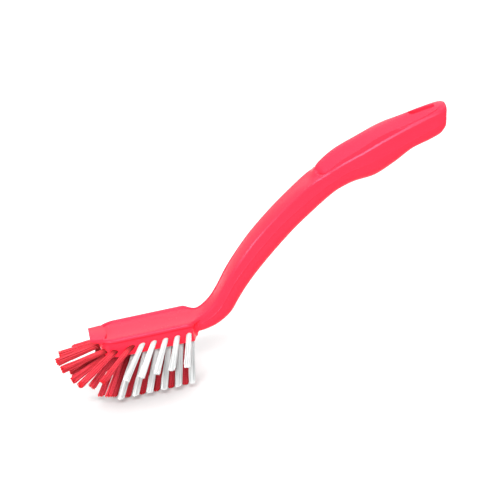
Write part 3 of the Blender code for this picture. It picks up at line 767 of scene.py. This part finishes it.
def bend_bundle(piece, root, tip, hole_depth, tip_radius, level_cut, crimp, seed):
    """Bends a copy of the bundle from its hole to the tuft's cut end."""
    random = np.random.default_rng(seed)
    turn = np.array(along(root, tip))
    length = (tip - root).length
    number = np.arange(FILAMENTS)
    spiral = GOLDEN_TURN * number + random.uniform(0, WHOLE_TURN)
    spread = np.sqrt((number + 0.5) / FILAMENTS)
    spread = np.clip(spread + random.normal(0, SPREAD_JITTER, FILAMENTS), 0.0, 1.0)
    aim = np.stack((np.cos(spiral), np.sin(spiral)), axis=1) * spread[:, None]
    root_aim = aim * TUFT_ROOT_RADIUS
    tip_aim = aim * tip_radius + random.normal(0, STRAY, (FILAMENTS, 2)) * TUFT_ROOT_RADIUS
    reach = np.linalg.norm(tip_aim, axis=1)
    tip_aim *= np.minimum(1.0, tip_radius / np.maximum(reach, TINY))[:, None]
    if level_cut:
        cut = turn.T @ np.array((0, 0, 1.0))
    else:
        cut = np.array((*random.normal(0, CUT_TILT, 2), 1.0))
    end = (cut[2] * length - cut[0] * tip_aim[:, 0] - cut[1] * tip_aim[:, 1]) / cut[2]
    end = end if level_cut else np.minimum(end, length)
    ragged = RAGGED_LEVEL if level_cut else RAGGED_TILTED
    end = end - CUT_BACK - random.gamma(RAGGED_SHAPE, ragged, FILAMENTS)
    start = -(hole_depth - FOLD_CLEARANCE)
    z = start + (end - start)[:, None] * FILAMENT_STOPS[None, :]
    free = (np.clip(z / length, 0.0, None) ** TUFT_FLARE)[:, :, None]
    swell = np.sin(np.pi * np.clip(z / length, 0, 1))[:, :, None]
    bow = random.normal(0, crimp, (FILAMENTS, 2))[:, None, :] * swell
    phase = random.uniform(0, WHOLE_TURN, (FILAMENTS, 1))
    sideways = np.sin(phase + z * CRIMP_TURNS[0]), np.cos(phase * 2 + z * CRIMP_TURNS[1])
    growth = np.clip(z, 0, CRIMP_GROWS)[:, :, None]
    wiggle = crimp * np.stack(sideways, axis=2) * growth / CRIMP_GROWS
    middle = root_aim[:, None, :] + (tip_aim - root_aim)[:, None, :] * free + bow + wiggle
    corner = 2 * np.pi * np.arange(FILAMENT_SIDES) / FILAMENT_SIDES
    facing = random.uniform(0, WHOLE_TURN, FILAMENTS)[:, None] + corner[None, :]
    round_section = np.stack((np.cos(facing), np.sin(facing)), axis=2) * FILAMENT_RADIUS
    shape = (FILAMENTS, len(FILAMENT_STOPS), FILAMENT_SIDES)
    local = np.empty((*shape, 3))
    local[..., :2] = middle[:, :, None, :] + round_section[:, None, :, :]
    local[..., 2] = z[:, :, None]
    whole = local.reshape(-1, 3) @ turn.T + np.array(root)
    piece.data.vertices.foreach_set("co", (whole * MM + np.array(SCRAPING_EDGE_AT)).ravel())
    tones = FILAMENT_TONE * random.uniform(0, 1, FILAMENTS) + TUFT_TONE * random.uniform()
    run, to_end = z[:, :, None], (end[:, None] - z)[:, :, None]
    for name, values in (("run", run), ("tone", tones[:, None, None]), ("to_end", to_end)):
        values = np.broadcast_to(values, shape).astype(np.float32)
        piece.data.attributes[name].data.foreach_set("value", values.ravel())
    piece.data.update()


# The filaments' finish: each has its own tone, from dull to pale, and turns to a painted shade down
# in the hole and to a painted light at its cut end, with the crimp as a fine wave along it. The
# four colours stand in that order.
FILAMENT_COLOURS = {
    "red": (
        (0.27, 0.0, 0.002, 1), (0.66, 0.035, 0.06, 1),
        (0.2, 0.0, 0.001, 1), (0.5, 0.0, 0.005, 1),
    ),
    "white": (
        (0.3, 0.31, 0.31, 1), (0.58, 0.59, 0.59, 1),
        (0.44, 0.44, 0.44, 1), (0.56, 0.57, 0.57, 1),
    ),
}
CRIMP_BUMPS = {"red": 0.6, "white": 0.15}
HOLE_SHADE_RUN, CUT_SHADE_RUN = (3.0, -1.0), (1.5, 0.2)
CRIMP_PITCH, CRIMP_SHIFT, CRIMP_HEIGHT = 1.5, 9.0, 0.00008
SPECKLE_SCALE, FILAMENT_ROUGHNESS, SPECKLE_DULLS, FILAMENT_IOR = 1500.0, 0.38, 0.14, 1.33


def filament_finish(name, colours, crimp_bump):
    polyester = Finish(name)
    dull, pale, hole_shade_colour, cut_end_light_colour = colours
    run, tone, to_end = (
        polyester.node("ShaderNodeAttribute", {"attribute_name": measure}, output="Fac")
        for measure in ("run", "tone", "to_end")
    )
    where = polyester.node("ShaderNodeTexCoord", output="Object")
    colour = polyester.mix(tone, dull, pale)
    # painted shade: the filaments darken down in the hole
    colour = polyester.mix(polyester.smooth(run, *HOLE_SHADE_RUN), colour, hole_shade_colour)
    # painted light at the cut ends: a clear red on the red filaments and paler on the white
    colour = polyester.mix(polyester.smooth(to_end, *CUT_SHADE_RUN), colour, cut_end_light_colour)
    phase = run * (2 * math.pi / CRIMP_PITCH) + tone * CRIMP_SHIFT
    crimp = polyester.node("ShaderNodeMath", {"operation": "SINE"}, {0: phase})
    return polyester.dress(
        Base_Color=colour,
        Roughness=FILAMENT_ROUGHNESS + SPECKLE_DULLS * polyester.noise(where, SPECKLE_SCALE),
        IOR=FILAMENT_IOR,
        Normal=polyester.bump(crimp_bump, CRIMP_HEIGHT, crimp),
    )


polyester_finishes = {
    colour: filament_finish(f"{colour}_polyester", colours, CRIMP_BUMPS[colour])
    for colour, colours in FILAMENT_COLOURS.items()
}
for seed, (name, colour, root, tip, kind) in enumerate(tufts):
    tuft = copy_piece(bundle, f"bristles_{name}")
    in_fan = kind == "nose" and abs(tip.y) < FAN_HALF_WIDTH
    tip_radius = FAN_TIP_RADIUS if in_fan else TUFT_TIP_RADIUS
    level_cut = kind == "row"
    crimp = CRIMP_SIZES[colour]
    bend_bundle(tuft, root, tip, HOLE_DEPTHS[kind], tip_radius, level_cut, crimp, seed)
    tuft.data.materials.append(polyester_finishes[colour])
    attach(tuft, "root")
    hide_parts(f"tuft_{name}")
bpy.data.objects.remove(bundle, do_unlink=True)

# Anchors: a flat cut of half-hard stainless wire holds each tuft at the bottom of its hole, with
# its ends pressed into the plastic. They are hidden once the brush is tufted.
ANCHOR_LENGTH, ANCHOR_WIDTH, ANCHOR_THICKNESS = 4.0, 1.5, 0.28
ANCHOR_BEVEL, ANCHOR_CLEARANCE = 0.06, 0.05
STEEL_DULL, STEEL_BRIGHT = (0.52, 0.51, 0.49, 1), (0.66, 0.65, 0.63, 1)
DRAWN_STRETCH, DRAWN_SCALE = (1.0, 0.1, 1.0), 3000.0
STEEL_ROUGHNESS, DRAWN_DULLS = 0.28, 0.2
anchor_size = (ANCHOR_THICKNESS * MM, ANCHOR_LENGTH * MM, ANCHOR_WIDTH * MM)
deselect()
bpy.ops.mesh.primitive_cube_add(size=1.0)
anchor_pattern = bpy.context.object
mesh_edit(
    (bpy.ops.transform.resize, {"value": anchor_size}),
    (bpy.ops.mesh.subdivide, {"number_cuts": 1}),
)
modify(anchor_pattern, "BEVEL", width=ANCHOR_BEVEL * MM, segments=1, **SHARP_EDGE)
steel = Finish("stainless_wire")
where = steel.node("ShaderNodeTexCoord", output="Object")
drawn = steel.noise(steel.stretch(where, DRAWN_STRETCH), DRAWN_SCALE)
anchor_finish = steel.dress(
    Base_Color=steel.mix(drawn, STEEL_DULL, STEEL_BRIGHT),
    Metallic=1.0,
    Roughness=STEEL_ROUGHNESS + DRAWN_DULLS * drawn,
)
for name, colour, root, tip, kind in tufts:
    anchor = copy_piece(anchor_pattern, f"anchor_{name}")
    depth = HOLE_DEPTHS[kind] - ANCHOR_WIDTH / 2 - ANCHOR_CLEARANCE
    seat = root + (root - tip).normalized() * depth
    place = Matrix.Translation(SCRAPING_EDGE_AT + seat * MM) @ along(root, tip).to_4x4()
    anchor.data.transform(place)
    anchor.data.materials.append(anchor_finish)
    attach(anchor, "root")
bpy.data.objects.remove(anchor_pattern, do_unlink=True)
